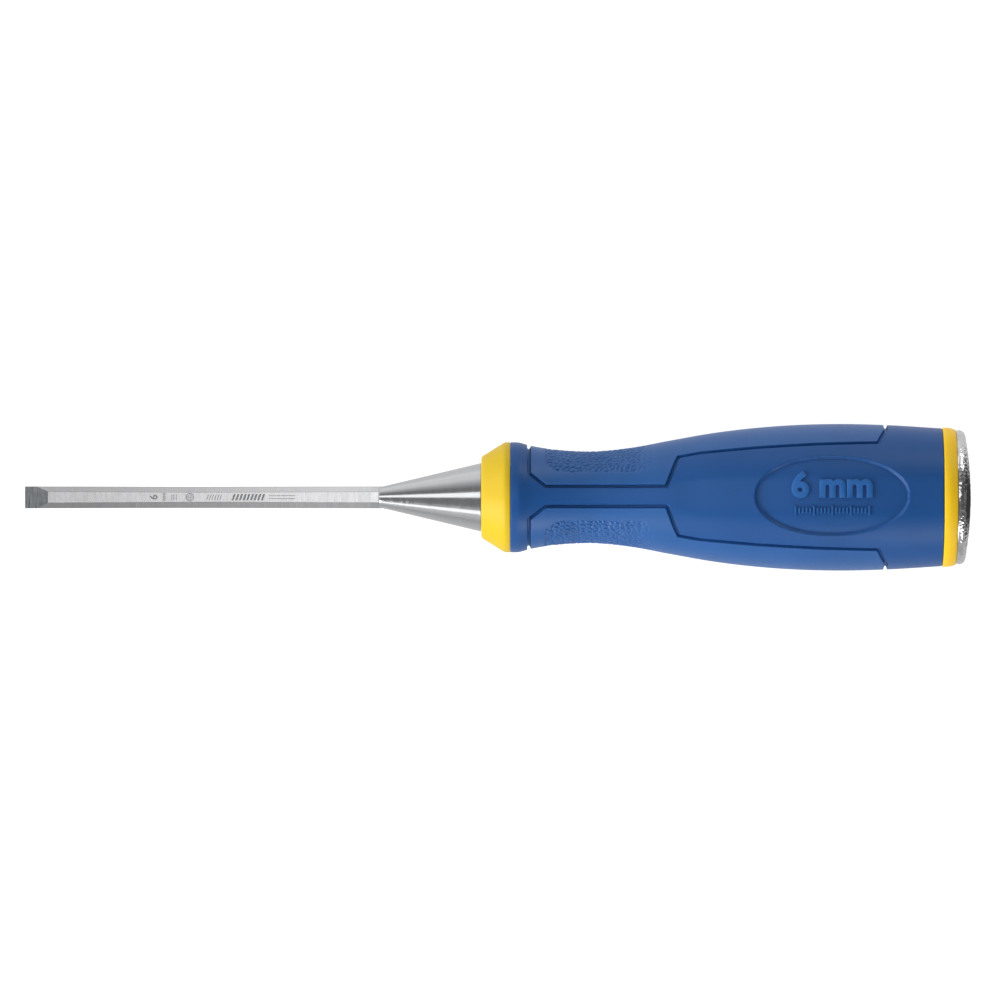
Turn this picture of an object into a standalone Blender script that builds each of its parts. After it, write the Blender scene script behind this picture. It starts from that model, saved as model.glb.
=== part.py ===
"""Bench chisel, 6 mm bevel edge, with a two-colour moulded handle and a steel strike cap.

The tool lies along X: cutting edge at -X, strike cap at +X. +Z is the bevelled face of the blade, and Z = 0 is
the lowest point of the grip. A station is a distance from the cutting edge along the tool.
"""

import math

import bmesh
import bpy
from mathutils import Vector

MM = 0.001
GAP = 0.3 * MM  # between pieces that touch on the real tool

# Whole tool
LENGTH = 257.9 * MM
FLAT_HALF = 19.55 * MM  # half height between the two anti-roll flats of the grip
AXIS_HEIGHT = FLAT_HALF

# Blade
BLADE_WIDTH = 6.0 * MM
BLADE_THICKNESS = 3.0 * MM
BLADE_FLAT_WIDTH = 2.8 * MM  # the narrow face between the two side bevels
SIDE_LAND = 1.45 * MM  # height of the square edge under each side bevel
GRIND_ANGLE = math.radians(25)

# Bolster cone and tang
CONE_START = 96.6 * MM
CONE_START_RADIUS = 2.75 * MM
CONE_NOSE = 1.0 * MM  # length of the fillet where the blade leaves the cone
BLADE_ROOT = 4.0 * MM  # how far the blade's outline runs on inside the cone
COLLAR_START = 124.5 * MM
BOLSTER_END = COLLAR_START - GAP
BOLSTER_RADIUS = 9.4 * MM
TANG_END = 196.0 * MM
TANG_ROOT = 8.0 * MM  # side of the square tang at the bolster
TANG_TIP = 4.5 * MM

# Handle core: collar, barrel and rear ring
COLLAR_FACE_RADIUS = 10.5 * MM
COLLAR_ROUNDING = 0.9 * MM
COLLAR_CONE_END = 130.7 * MM
COLLAR_END = 132.1 * MM
COLLAR_RADIUS = 15.05 * MM
RING_START = 250.4 * MM
RING_END = 253.8 * MM
RING_RADIUS = 19.02 * MM
BARREL_FRONT_RADIUS = 8.2 * MM
BARREL_REAR_RADIUS = 14.0 * MM
BARREL_FLARE = (160.0 * MM, 205.0 * MM)

# Grip: (station, radius) points of its outer profile, joined by a smooth curve
GRIP_START = COLLAR_END + GAP
GRIP_END = RING_START - GAP
GRIP_PROFILE = [
    (GRIP_START, 15.05 * MM),
    (135.3 * MM, 14.85 * MM),
    (137.0 * MM, 14.1 * MM),
    (146.0 * MM, 12.93 * MM),
    (154.0 * MM, 12.55 * MM),
    (165.0 * MM, 13.5 * MM),
    (176.0 * MM, 15.48 * MM),
    (187.0 * MM, 17.42 * MM),
    (203.0 * MM, 19.25 * MM),
    (222.5 * MM, 20.02 * MM),
    (236.0 * MM, 19.65 * MM),
    (GRIP_END, 18.78 * MM),
]
# The anti-roll flats fade in behind the waist and follow the swell down to it, so that the tool lies still on them
FLAT_SHARE = 0.977  # their half height there, as a share of the radius
FLAT_FADE = (168.0 * MM, 184.0 * MM)

# Side panels: (station, distance from the tool's centre plane) corners of each pocket's edge
POCKET_EDGE = [
    (137.5 * MM, 6.2 * MM),
    (142.3 * MM, 2.9 * MM),
    (175.0 * MM, 2.9 * MM),
    (178.3 * MM, 10.7 * MM),
    (184.1 * MM, 11.8 * MM),
    (199.8 * MM, 13.2 * MM),
    (215.4 * MM, 14.1 * MM),
    (232.6 * MM, 14.5 * MM),
    (234.8 * MM, 18.2 * MM),
]
POCKET_CLEARANCE = 0.35 * MM  # leaves the groove around each panel
PANEL_THICKNESS = 2.0 * MM

# Strike cap
CAP_START = RING_END + GAP
CAP_RADIUS = 18.35 * MM
CAP_CORNER = 1.7 * MM  # rounding of the struck edge
CAP_DOME = 96.0 * MM  # radius of the domed face
STEM_RADIUS = 6.0 * MM
STEM_LENGTH = 18.0 * MM
STEM_BORE_LENGTH = STEM_LENGTH + 0.5 * MM

# Facets
TURNED_STEPS = 36
PANEL_STEPS = 14
SPINE_STEPS = 8
STATION_PITCH = 8.0 * MM
EDGE_RISE = 1.8 * MM
FLARE_STEPS = 6
SAME_POINT = 1e-6
SHARP_ANGLE = math.radians(32)


def clear_scene():
    for thing in list(bpy.data.objects):
        bpy.data.objects.remove(thing, do_unlink=True)


def make_material(name, colour, roughness, metallic=0.0):
    material = bpy.data.materials.new(name)
    material.use_nodes = True
    shader = material.node_tree.nodes["Principled BSDF"]
    shader.inputs["Base Color"].default_value = (*colour, 1.0)
    shader.inputs["Roughness"].default_value = roughness
    shader.inputs["Metallic"].default_value = metallic
    material.diffuse_color = (*colour, 1.0)
    return material


def place(station, y=0.0, z=0.0):
    """World point for a station, with y and z measured from the tool's axis."""
    return Vector((station - LENGTH / 2, y, AXIS_HEIGHT + z))


def spread(start, end, steps):
    """Evenly spaced values from start to end, both included."""
    return [start + (end - start) * i / steps for i in range(steps + 1)]


def finish_mesh(mesh, name, material):
    """Closes up a bmesh and returns it as a smooth-shaded object."""
    bmesh.ops.remove_doubles(mesh, verts=mesh.verts, dist=SAME_POINT)
    bmesh.ops.dissolve_degenerate(mesh, edges=mesh.edges, dist=SAME_POINT)
    bmesh.ops.recalc_face_normals(mesh, faces=mesh.faces)
    data = bpy.data.meshes.new(name)
    mesh.to_mesh(data)
    mesh.free()
    data.shade_smooth()
    data.set_sharp_from_angle(angle=SHARP_ANGLE)
    thing = bpy.data.objects.new(name, data)
    bpy.context.scene.collection.objects.link(thing)
    if material:
        data.materials.append(material)
    return thing


def hide_helper(thing):
    thing.hide_render = True
    thing.display_type = "WIRE"


def add_boolean(thing, helper, operation):
    """Joins a helper shape to an object, or cuts it away, and hides the helper."""
    step = thing.modifiers.new(f"{operation.lower()}_{helper.name}", "BOOLEAN")
    step.operation = operation
    step.solver = "EXACT"
    step.object = helper
    hide_helper(helper)


def smooth_radius(profile, station):
    """Radius at a station on the smooth curve through the profile's points."""
    if station <= profile[0][0]:
        return profile[0][1]
    if station >= profile[-1][0]:
        return profile[-1][1]
    k = next(i for i in range(len(profile) - 1) if station <= profile[i + 1][0])

    def slope(i):
        before, after = profile[max(i - 1, 0)], profile[min(i + 1, len(profile) - 1)]
        return (after[1] - before[1]) / (after[0] - before[0])

    (s0, r0), (s1, r1) = profile[k], profile[k + 1]
    span = s1 - s0
    t = (station - s0) / span
    return (
        (2 * t**3 - 3 * t**2 + 1) * r0
        + (t**3 - 2 * t**2 + t) * span * slope(k)
        + (3 * t**2 - 2 * t**3) * r1
        + (t**3 - t**2) * span * slope(k + 1)
    )


def line_value(points, station):
    """Value at a station on the straight segments through the points."""
    for (s0, v0), (s1, v1) in zip(points, points[1:]):
        if s0 <= station <= s1:
            return v0 + (v1 - v0) * (station - s0) / (s1 - s0)
    return points[0][1] if station < points[0][0] else points[-1][1]


def offset_edge(points, distance):
    """The pocket's edge moved into the pocket by a distance, with mitred corners."""
    corners = []
    for i, (s, y) in enumerate(points):
        normals = []
        for a, b in ((i - 1, i), (i, i + 1)):
            if 0 <= a and b < len(points):
                run = Vector((points[b][0] - points[a][0], points[b][1] - points[a][1])).normalized()
                normals.append(Vector((-run.y, run.x)))
        middle = sum(normals, Vector((0, 0))).normalized()
        reach = distance / middle.dot(normals[0])
        corners.append((s + middle.x * reach, y + middle.y * reach))
    first, last = points[0][0] + distance, points[-1][0] - distance
    inside = [c for c in corners if first < c[0] < last]
    return [(first, line_value(corners, first)), *inside, (last, line_value(corners, last))]


def stations_along(edge):
    """The stations of an edge's corners, with more between them where it runs far or climbs steeply."""
    stations = []
    for (s0, y0), (s1, y1) in zip(edge, edge[1:]):
        steps = max(1, math.ceil((s1 - s0) / STATION_PITCH), math.ceil(abs(y1 - y0) / EDGE_RISE))
        stations += spread(s0, s1, steps)[:-1]
    return [*stations, edge[-1][0]]


def loft(mesh, rings):
    """Adds the skin between rings of equally many points, and returns the rings' vertices."""
    made = [[mesh.verts.new(p) for p in ring] for ring in rings]
    count = len(rings[0])
    for first, second in zip(made, made[1:]):
        for i in range(count):
            j = (i + 1) % count
            mesh.faces.new((first[i], first[j], second[j], second[i]))
    return made


def turned(name, profile, material):
    """A solid of revolution about the tool's axis from (station, radius) points that end on the axis."""
    mesh = bmesh.new()
    line = [mesh.verts.new(place(s, 0.0, r)) for s, r in profile]
    edges = [mesh.edges.new(pair) for pair in zip(line, line[1:])]
    bmesh.ops.spin(
        mesh,
        geom=line + edges,
        cent=place(0.0),
        axis=(1, 0, 0),
        angle=2 * math.pi,
        steps=TURNED_STEPS,
    )
    return finish_mesh(mesh, name, material)


def arc_points(centre, radius, start_deg, end_deg, steps):
    """(station, radius) points on an arc, with angles from the tool's rearward direction."""
    points = []
    for i in range(steps + 1):
        angle = math.radians(start_deg + (end_deg - start_deg) * i / steps)
        points.append((centre[0] + radius * math.cos(angle), centre[1] + radius * math.sin(angle)))
    return points


def square_bar(name, start, end, start_side, end_side, material):
    """A tapered square bar along the tool's axis."""
    mesh = bmesh.new()
    rings = []
    for station, side in ((start, start_side), (end, end_side)):
        h = side / 2
        rings.append([place(station, y, z) for y, z in ((-h, -h), (h, -h), (h, h), (-h, h))])
    ends = loft(mesh, rings)
    mesh.faces.new(ends[0])
    mesh.faces.new(ends[-1])
    return finish_mesh(mesh, name, material)


def blade_section(station):
    """The blade's outline across the tool: flat back, two square edges, two side bevels, narrow face."""
    half, back = BLADE_WIDTH / 2, -BLADE_THICKNESS / 2
    face = BLADE_FLAT_WIDTH / 2
    outline = [
        (-half, back),
        (half, back),
        (half, back + SIDE_LAND),
        (face, -back),
        (-face, -back),
        (-half, back + SIDE_LAND),
    ]
    return [place(station, y, z) for y, z in outline]


def make_blade(material):
    """Blade, bolster and tang: one forging."""
    mesh = bmesh.new()
    ends = loft(mesh, [blade_section(0.0), blade_section(CONE_START + BLADE_ROOT)])
    mesh.faces.new(ends[0])
    mesh.faces.new(ends[-1])
    ground = bmesh.ops.bisect_plane(
        mesh,
        geom=mesh.verts[:] + mesh.edges[:] + mesh.faces[:],
        plane_co=place(0.0, 0.0, -BLADE_THICKNESS / 2),
        plane_no=(-math.sin(GRIND_ANGLE), 0.0, math.cos(GRIND_ANGLE)),
        clear_outer=True,
    )
    rim = [g for g in ground["geom_cut"] if isinstance(g, bmesh.types.BMEdge)]
    bmesh.ops.contextual_create(mesh, geom=rim)
    blade = finish_mesh(mesh, "blade", material)

    nose = CONE_START - CONE_NOSE
    cone = [
        (nose, 0.0),
        (nose, BLADE_THICKNESS / 2 - 0.1 * MM),
        (CONE_START - 0.3 * MM, CONE_START_RADIUS - 0.35 * MM),
        (CONE_START, CONE_START_RADIUS),
        (BOLSTER_END - 0.2 * MM, BOLSTER_RADIUS),
        (BOLSTER_END, BOLSTER_RADIUS - 0.15 * MM),
        (BOLSTER_END, 0.0),
    ]
    add_boolean(blade, turned("bolster_shape", cone, material), "UNION")
    tang = square_bar("tang_shape", BOLSTER_END - 2 * MM, TANG_END, TANG_ROOT, TANG_TIP, material)
    add_boolean(blade, tang, "UNION")


def barrel_radius(station):
    """Radius of the handle core inside the grip."""
    flare_start, flare_end = BARREL_FLARE
    t = min(1.0, max(0.0, (station - flare_start) / (flare_end - flare_start)))
    return BARREL_FRONT_RADIUS + (BARREL_REAR_RADIUS - BARREL_FRONT_RADIUS) * (3 * t**2 - 2 * t**3)


def flare_stations():
    return spread(*BARREL_FLARE, FLARE_STEPS)


def make_handle_core(material):
    """Collar, barrel and rear ring in one moulding, bored for the tang and for the cap's stem."""
    rounding_centre = (COLLAR_START + COLLAR_ROUNDING, COLLAR_FACE_RADIUS)
    barrel = [COLLAR_END, *flare_stations(), RING_START]
    profile = [
        (COLLAR_START, 0.0),
        *arc_points(rounding_centre, COLLAR_ROUNDING, 180, 110, 3),
        (COLLAR_CONE_END, COLLAR_RADIUS - 0.05 * MM),
        (COLLAR_END, COLLAR_RADIUS),
        *[(s, barrel_radius(s)) for s in barrel],
        (RING_START, RING_RADIUS - 0.1 * MM),
        (RING_START + 1.0 * MM, RING_RADIUS),
        (RING_START + 2.0 * MM, RING_RADIUS - 0.05 * MM),
        (RING_END, RING_RADIUS - 0.4 * MM),
        (RING_END, 0.0),
    ]
    core = turned("handle_core", profile, material)

    tang_length = TANG_END - BOLSTER_END
    taper = (TANG_TIP - TANG_ROOT) / tang_length
    mouth, floor = COLLAR_START - 1.0 * MM, TANG_END + 2 * GAP
    mouth_side = TANG_ROOT + taper * (mouth - BOLSTER_END) + 2 * GAP
    floor_side = TANG_ROOT + taper * (floor - BOLSTER_END) + 2 * GAP
    add_boolean(core, square_bar("tang_bore", mouth, floor, mouth_side, floor_side, None), "DIFFERENCE")

    bore_end = RING_END - STEM_BORE_LENGTH
    bore_radius = STEM_RADIUS + GAP
    bore = [(bore_end, 0.0), (bore_end, bore_radius), (CAP_START + 1.0 * MM, bore_radius), (CAP_START + 1.0 * MM, 0.0)]
    add_boolean(core, turned("stem_bore", bore, None), "DIFFERENCE")


def flat_height(station):
    """Half height between the two anti-roll flats."""
    fade = (station - FLAT_FADE[0]) / (FLAT_FADE[1] - FLAT_FADE[0])
    share = 1.0 + (FLAT_SHARE - 1.0) * min(max(fade, 0.0), 1.0)
    return min(FLAT_HALF, smooth_radius(GRIP_PROFILE, station) * share)


def surface_point(station, angle, depth=0.0):
    """A point of the grip's surface, or below it, at an angle from the +Y side towards the +Z face."""
    radius = smooth_radius(GRIP_PROFILE, station)
    lift = abs(math.sin(angle))
    if radius * lift > flat_height(station):
        radius = flat_height(station) / lift
    radius -= depth
    return place(station, radius * math.cos(angle), radius * math.sin(angle))


def edge_angle(edge, station):
    """The angle at which an edge line meets the grip's surface."""
    return math.acos(line_value(edge, station) / smooth_radius(GRIP_PROFILE, station))


def grip_angles(station):
    """Angles around a ring of the grip as four runs: side, face, side, face."""
    e = edge_angle(POCKET_EDGE, station)
    return [
        spread(-e, e, PANEL_STEPS),
        spread(e, math.pi - e, SPINE_STEPS),
        spread(math.pi - e, math.pi + e, PANEL_STEPS),
        spread(math.pi + e, 2 * math.pi - e, SPINE_STEPS),
    ]


def grip_ring(station, pocket_depth):
    ring = []
    for run, depth in zip(grip_angles(station), (pocket_depth, 0.0, pocket_depth, 0.0)):
        ring += [surface_point(station, angle, depth) for angle in run]
    return ring


def make_grip_body(material):
    """The overmould, a sleeve on the core's barrel with a pocket in each side."""
    depth = PANEL_THICKNESS + GAP
    first, last = POCKET_EDGE[0][0], POCKET_EDGE[-1][0]
    front_corners = [s for s, _ in GRIP_PROFILE if s < first]
    rear_corners = [s for s, _ in GRIP_PROFILE if s > last]
    outer = [grip_ring(s, 0.0) for s in (*front_corners, first)]
    outer += [grip_ring(s, depth) for s in stations_along(POCKET_EDGE)]
    outer += [grip_ring(s, 0.0) for s in (last, *rear_corners)]
    mesh = bmesh.new()
    ends = loft(mesh, outer)
    mesh.faces.new(ends[0])
    mesh.faces.new(ends[-1])
    body = finish_mesh(mesh, "grip_body", material)

    past = 1.0 * MM  # the cutter reaches past both ends of the grip
    bore = [(s, barrel_radius(s) + GAP) for s in (GRIP_START - past, *flare_stations(), GRIP_END + past)]
    bore = [(bore[0][0], 0.0), *bore, (bore[-1][0], 0.0)]
    add_boolean(body, turned("barrel_bore", bore, None), "DIFFERENCE")


def make_side_panel(name, side, material):
    """One insert, following the grip's outer surface inside its pocket. side is +1 on +Y and -1 on -Y."""
    edge = offset_edge(POCKET_EDGE, POCKET_CLEARANCE)
    turn = 0.0 if side > 0 else math.pi
    rings = []
    for station in stations_along(edge):
        e = edge_angle(edge, station)
        angles = [turn + a for a in spread(-e, e, PANEL_STEPS)]
        outside = [surface_point(station, a) for a in angles]
        inside = [surface_point(station, a, PANEL_THICKNESS) for a in reversed(angles)]
        rings.append(outside + inside)
    mesh = bmesh.new()
    made = loft(mesh, rings)
    count = PANEL_STEPS + 1
    for ring in (made[0], made[-1]):
        for i in range(count - 1):
            mesh.faces.new((ring[i], ring[i + 1], ring[2 * count - 2 - i], ring[2 * count - 1 - i]))
    finish_mesh(mesh, name, material)


def make_strike_cap(material):
    """Domed steel cap with a stem that is pressed in the core. Its rounded edge runs on into the dome."""
    reach = CAP_DOME - CAP_CORNER  # from the dome's centre to the corner's
    corner_radius = CAP_RADIUS - CAP_CORNER
    corner = (LENGTH - CAP_DOME + math.sqrt(reach**2 - corner_radius**2), corner_radius)
    dome_edge = math.degrees(math.asin(corner_radius / reach))
    chamfer = 0.2 * MM
    corner_start = math.degrees(math.acos((CAP_START + chamfer - corner[0]) / CAP_CORNER))
    stem_front = CAP_START - STEM_LENGTH
    profile = [
        (stem_front, 0.0),
        (stem_front, STEM_RADIUS - 0.5 * MM),
        (stem_front + 0.5 * MM, STEM_RADIUS),
        (CAP_START, STEM_RADIUS),
        (CAP_START, CAP_RADIUS - chamfer),
        *arc_points(corner, CAP_CORNER, corner_start, dome_edge, 4),
        *arc_points((LENGTH - CAP_DOME, 0.0), CAP_DOME, dome_edge, 0.0, 4)[1:],
    ]
    turned("strike_cap", profile, material)


def main():
    clear_scene()
    steel = make_material("ground_steel", (0.62, 0.63, 0.64), 0.28, metallic=1.0)
    core = make_material("yellow_plastic", (0.84, 0.57, 0.03), 0.3)
    grip = make_material("blue_plastic", (0.03, 0.09, 0.28), 0.5)
    panel = make_material("blue_rubber", (0.03, 0.1, 0.3), 0.6)
    cap = make_material("plated_steel", (0.6, 0.6, 0.6), 0.2, metallic=1.0)
    make_blade(steel)
    make_handle_core(core)
    make_grip_body(grip)
    make_side_panel("side_panel_left", 1, panel)
    make_side_panel("side_panel_right", -1, panel)
    make_strike_cap(cap)


main()
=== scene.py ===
"""Looks of a 6 mm bevel-edge bench chisel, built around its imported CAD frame.

The tool lies along X. A station is a distance along it from the cutting edge. On the grip, an arc is a
distance over the surface, across the tool, from the middle line of its upper or lower face.
"""

import math

import bmesh
import bpy
import numpy as np
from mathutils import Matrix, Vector

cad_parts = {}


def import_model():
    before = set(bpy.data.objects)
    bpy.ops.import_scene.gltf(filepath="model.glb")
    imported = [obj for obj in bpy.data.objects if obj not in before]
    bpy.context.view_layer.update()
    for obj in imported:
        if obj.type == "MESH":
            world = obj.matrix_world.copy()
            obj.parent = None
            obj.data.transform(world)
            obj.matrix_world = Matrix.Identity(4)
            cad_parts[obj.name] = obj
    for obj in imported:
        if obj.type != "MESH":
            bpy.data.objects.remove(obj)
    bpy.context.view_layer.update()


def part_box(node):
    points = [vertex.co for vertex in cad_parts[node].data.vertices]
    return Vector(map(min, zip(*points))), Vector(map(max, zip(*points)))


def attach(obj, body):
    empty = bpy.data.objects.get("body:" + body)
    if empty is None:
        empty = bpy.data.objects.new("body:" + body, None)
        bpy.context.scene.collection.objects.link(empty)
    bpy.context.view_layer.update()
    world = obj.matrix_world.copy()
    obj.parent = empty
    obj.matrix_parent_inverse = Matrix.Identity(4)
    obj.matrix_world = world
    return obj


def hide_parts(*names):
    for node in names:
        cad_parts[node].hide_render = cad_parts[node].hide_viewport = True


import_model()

MM = 0.001

# ---------------------------------------------------------------- places read from the frame
TIP_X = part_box("blade")[0][0]
AXIS_Z = (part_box("strike_cap")[0][2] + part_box("strike_cap")[1][2]) / 2


def node_stations(node):
    low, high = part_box(node)
    return low[0] - TIP_X, high[0] - TIP_X


TANG_END = node_stations("blade")[1]
COLLAR_START, CORE_END = node_stations("handle_core")
GRIP_START, GRIP_END = node_stations("grip_body")
STEM_START, CAP_END = node_stations("strike_cap")
CAP_RADIUS = (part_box("strike_cap")[1][2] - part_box("strike_cap")[0][2]) / 2
FLAT_HALF = (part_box("grip_body")[1][2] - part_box("grip_body")[0][2]) / 2
GAP = 0.3 * MM
SEAM = 0.04 * MM  # between pieces that touch on the real tool

# ---------------------------------------------------------------- driving sizes
BLADE_THICKNESS = 3.0 * MM
SIDE_LAND = 1.45 * MM
BLADE_CHAMFER = 0.05 * MM
BLADE_ROOT = 4.0 * MM  # how far the blade's outline runs on inside the cone
BLADE_STEPS = 34
GRIND_ANGLE = math.radians(25)
BEVEL_REACH = 7.0 * MM  # the ground bevel ends within this distance of the cutting edge
BLADE_WIDTHS = [(0.0, 6.0 * MM), (45 * MM, 5.8 * MM), (92 * MM, 6.0 * MM)]
FACE_WIDTHS = [(0.0, 3.15 * MM), (48 * MM, 2.6 * MM), (90 * MM, 2.9 * MM)]
CONE_START = 96.6 * MM
CONE_START_RADIUS = 2.75 * MM
NOSE_START = CONE_START - 0.2 * MM
# (distance past NOSE_START, radius) points of the cone's blunt nose
NOSE_ROUNDING = [
    (0.0, 1.4 * MM),
    (0.03 * MM, 1.8 * MM),
    (0.08 * MM, 2.2 * MM),
    (0.15 * MM, 2.5 * MM),
    (0.22 * MM, 2.65 * MM),
    (0.32 * MM, 2.76 * MM),
]
BOLSTER_END = COLLAR_START - SEAM
BOLSTER_RADIUS = 9.4 * MM
TANG_SIDES = (8.0 * MM, 4.5 * MM)
TANG_OVERLAP = 2.0 * MM  # how far the tang starts inside the bolster

ETCH_HEIGHT = 0.012 * MM
# Etched marks on the blade's face, in millimetres
# (text, size, boldness, station, distance from the middle line), each with its top towards the tip
ETCHED_TEXTS = [
    ("6", 2.9, 0.05, 35.2, 0.0),
    ("mm", 1.45, 0.03, 38.1, 0.1),
]
ETCHED_STAMP = 45.1  # station of the ring stamp
ETCHED_STAMP_BAR = (0.9, 0.22)  # length and width of the bar in it
ETCHED_RINGS = [(1.15, 0.2, 40), (0.72, 0.16, 28)]  # (radius, line width, steps)
# (count, first station, pitch, bar length along the tool, bar width across it, slant)
ETCHED_ROWS = [
    (4, 40.1, 0.45, 0.14, 1.5, 0.0),
    (6, 49.9, 0.72, 0.2, 1.5, 0.35),
    (9, 57.0, 1.0, 0.56, 1.75, 0.35),
]
ETCHED_LINES = (70.2, 7.2, 0.14, 0.4)  # station, length, width, distance to each side of the middle line

COLLAR_FACE_RADIUS = 10.5 * MM
COLLAR_ROUNDING = 0.9 * MM
COLLAR_CONE_END = 130.7 * MM
COLLAR_END = GRIP_START - SEAM
COLLAR_RADIUS = 15.05 * MM
COLLAR_CONE_RADII = (11.2 * MM, COLLAR_RADIUS - 0.12 * MM)
# (station, inset from COLLAR_RADIUS) points of the collar's widest part
COLLAR_CROWN = [
    (COLLAR_CONE_END, 0.16 * MM),
    (COLLAR_CONE_END + 0.45 * MM, 0.03 * MM),
    (COLLAR_END - 0.3 * MM, 0.0),
    (COLLAR_END - 0.12 * MM, 0.04 * MM),
    (COLLAR_END, 0.22 * MM),
]
RING_START = GRIP_END + SEAM
RING_RADIUS = 19.02 * MM
RING_LIP = 0.35 * MM
# (station, inset from RING_RADIUS) points of the rear ring's crown
RING_CROWN = [
    (RING_START + 0.8 * MM, 0.01 * MM),
    (RING_START + 1.4 * MM, 0.0),
    (RING_START + 2.1 * MM, 0.1 * MM),
    (RING_START + 2.8 * MM, 0.32 * MM),
    (CORE_END - 0.25 * MM, 0.5 * MM),
    (CORE_END - 0.06 * MM, 0.64 * MM),
    (CORE_END, 0.8 * MM),
]
BARREL_RADII = (8.2 * MM, 14.0 * MM)
BARREL_FLARE = (160.0 * MM, 205.0 * MM)
BARREL_STEPS = 14

CAP_START = CORE_END + SEAM
CAP_CORNER = 1.7 * MM
CAP_CHAMFER = 0.15 * MM
CAP_DOME = 96.0 * MM
CAP_TURNS = 640
STEM_RADIUS = 6.0 * MM
STEM_CHAMFER = 0.5 * MM
DIMPLES = [(0.95 * MM, 0.3 * MM, 9), (0.5 * MM, 0.13 * MM, 21)]  # (size, depth, seed)
DIMPLE_LIFT = 0.2 * MM  # taken off their depth, so that the ridges between them reach the outline
DIMPLE_FOCUS = 30.0 * MM  # they sink towards the point this far inside the cap's end

# (station, radius) points of the grip's outer profile
GRIP_PROFILE = [
    (GRIP_START, 15.03 * MM),
    (134.4 * MM, 15.0 * MM),
    (134.9 * MM, 14.95 * MM),
    (135.4 * MM, 14.82 * MM),
    (136.3 * MM, 14.55 * MM),
    (137.4 * MM, 14.24 * MM),
    (139.0 * MM, 13.88 * MM),
    (140.5 * MM, 13.6 * MM),
    (143.2 * MM, 13.22 * MM),
    (146.0 * MM, 12.93 * MM),
    (154.0 * MM, 12.55 * MM),
    (165.0 * MM, 13.5 * MM),
    (176.0 * MM, 15.48 * MM),
    (187.0 * MM, 17.42 * MM),
    (203.0 * MM, 19.25 * MM),
    (222.5 * MM, 20.0 * MM),
    (236.0 * MM, 19.65 * MM),
    (GRIP_END, 18.8 * MM),
]
FLAT_SHARE = 0.977  # half height between the anti-roll flats along the swell, as a share of the radius
FLAT_FADE = (168.0 * MM, 184.0 * MM)
FLAT_BLEND = 0.7 * MM  # how softly the flats run into the round of the grip
END_LIP = 0.3 * MM  # rounding of the grip's two end edges

# (station, distance from the centre plane) corners of each side pocket's edge
POCKET_EDGE = [
    (137.55 * MM, 6.3 * MM),
    (142.1 * MM, 2.78 * MM),
    (174.9 * MM, 2.78 * MM),
    (178.1 * MM, 10.8 * MM),
    (184.0 * MM, 11.85 * MM),
    (199.6 * MM, 13.25 * MM),
    (215.2 * MM, 14.15 * MM),
    (232.4 * MM, 14.6 * MM),
    (234.6 * MM, 18.3 * MM),
]
PANEL_THICKNESS = 2.0 * MM
GROOVE_FLOOR = 0.25 * MM  # from the groove's middle to where its wall starts
GROOVE_HALF = 0.58 * MM  # from its middle to where its rounded shoulder ends
GROOVE_DEPTH = 0.95 * MM
GROOVE_STEPS = np.array([0.03, 0.13, 0.23, 0.28, 0.33, 0.38, 0.43, 0.48, 0.53, 0.6, 0.85]) * MM

# Oval pad on each face
PAD_STATION = 219.6 * MM
PAD_HALF = (21.1 * MM, 11.55 * MM)
PAD_DEPTH = 0.9 * MM
PAD_WALL = 0.5 * MM
PAD_REACH = PAD_HALF[1] + 0.6 * MM  # half width of the closely divided middle of each face
PAD_PITCH = 0.28 * MM

# Points of a quarter ring of the grip, of a panel's outer skin past its groove, and of a panel's inside
MIDDLE_POINTS, SPINE_POINTS, SIDE_POINTS = 54, 10, 16
PANEL_POINTS, PANEL_BACK_POINTS = 66, 26

# Pebbled zone of each side panel: (station, arc) corners of its edge
PEBBLE_EDGE = [
    (141.4 * MM, 10.0 * MM),
    (145.0 * MM, 6.6 * MM),
    (169.0 * MM, 6.6 * MM),
    (172.0 * MM, 10.0 * MM),
]
PEBBLE_SIZE = (1.5 * MM, 1.15 * MM)
PEBBLE_DEPTH = 0.3 * MM
PEBBLE_FADE = 0.7 * MM
PEBBLE_REAR_FADE = (164.0 * MM, 172.5 * MM)
PEBBLE_REAR_LOSS = 0.8  # share of their depth lost at the rear end of that
PEBBLE_VALLEY = (0.02, 0.42)  # from a valley's middle to a pebble's flat top, in cells
PEBBLE_TOP_LOSS = 0.9  # share of the valleys' depth that the tops don't have

# Raised size mark on the upper pad
RELIEF_HEIGHT = 0.42 * MM
RELIEF_TEXT = ("6 mm", 9.6 * MM, 0.34 * MM, 3.2 * MM)  # text, size, boldness, distance from the middle line
RELIEF_EDGE = 0.1 * MM
RULER_TICKS = 21
RULER_PITCH = 1.0 * MM
RULER_LINE = 0.5 * MM
RULER_LENGTHS = (2.6 * MM, 1.6 * MM)  # of each fifth tick and of the others
RULER_ACROSS = -4.2 * MM

SHARP_ANGLE = math.radians(35)
BLADE_SHARP_ANGLE = math.radians(12)
SAME_POINT = 1e-7

# Stations, in millimetres, between which a material goes from its front colours to its rear ones:
# painted shade that darkens the blade's steel towards the tip, and painted light and shade that darken
# the yellow collar and lighten the rear ring
STEEL_SHADE_FADE = (15.0, 85.0)
PLASTIC_PAINTED_LIGHT_FADE = (140.0, 240.0)

CAMERA_LEAN = math.radians(1.3)  # how far the view leans round the tool from straight down
CAMERA_STATION = 129.6 * MM
CAMERA_ACROSS = -0.74 * MM
CAMERA_DISTANCE = 2.9
FRAME_WIDTH = 272.7 * MM
SENSOR_WIDTH = 36.0

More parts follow.
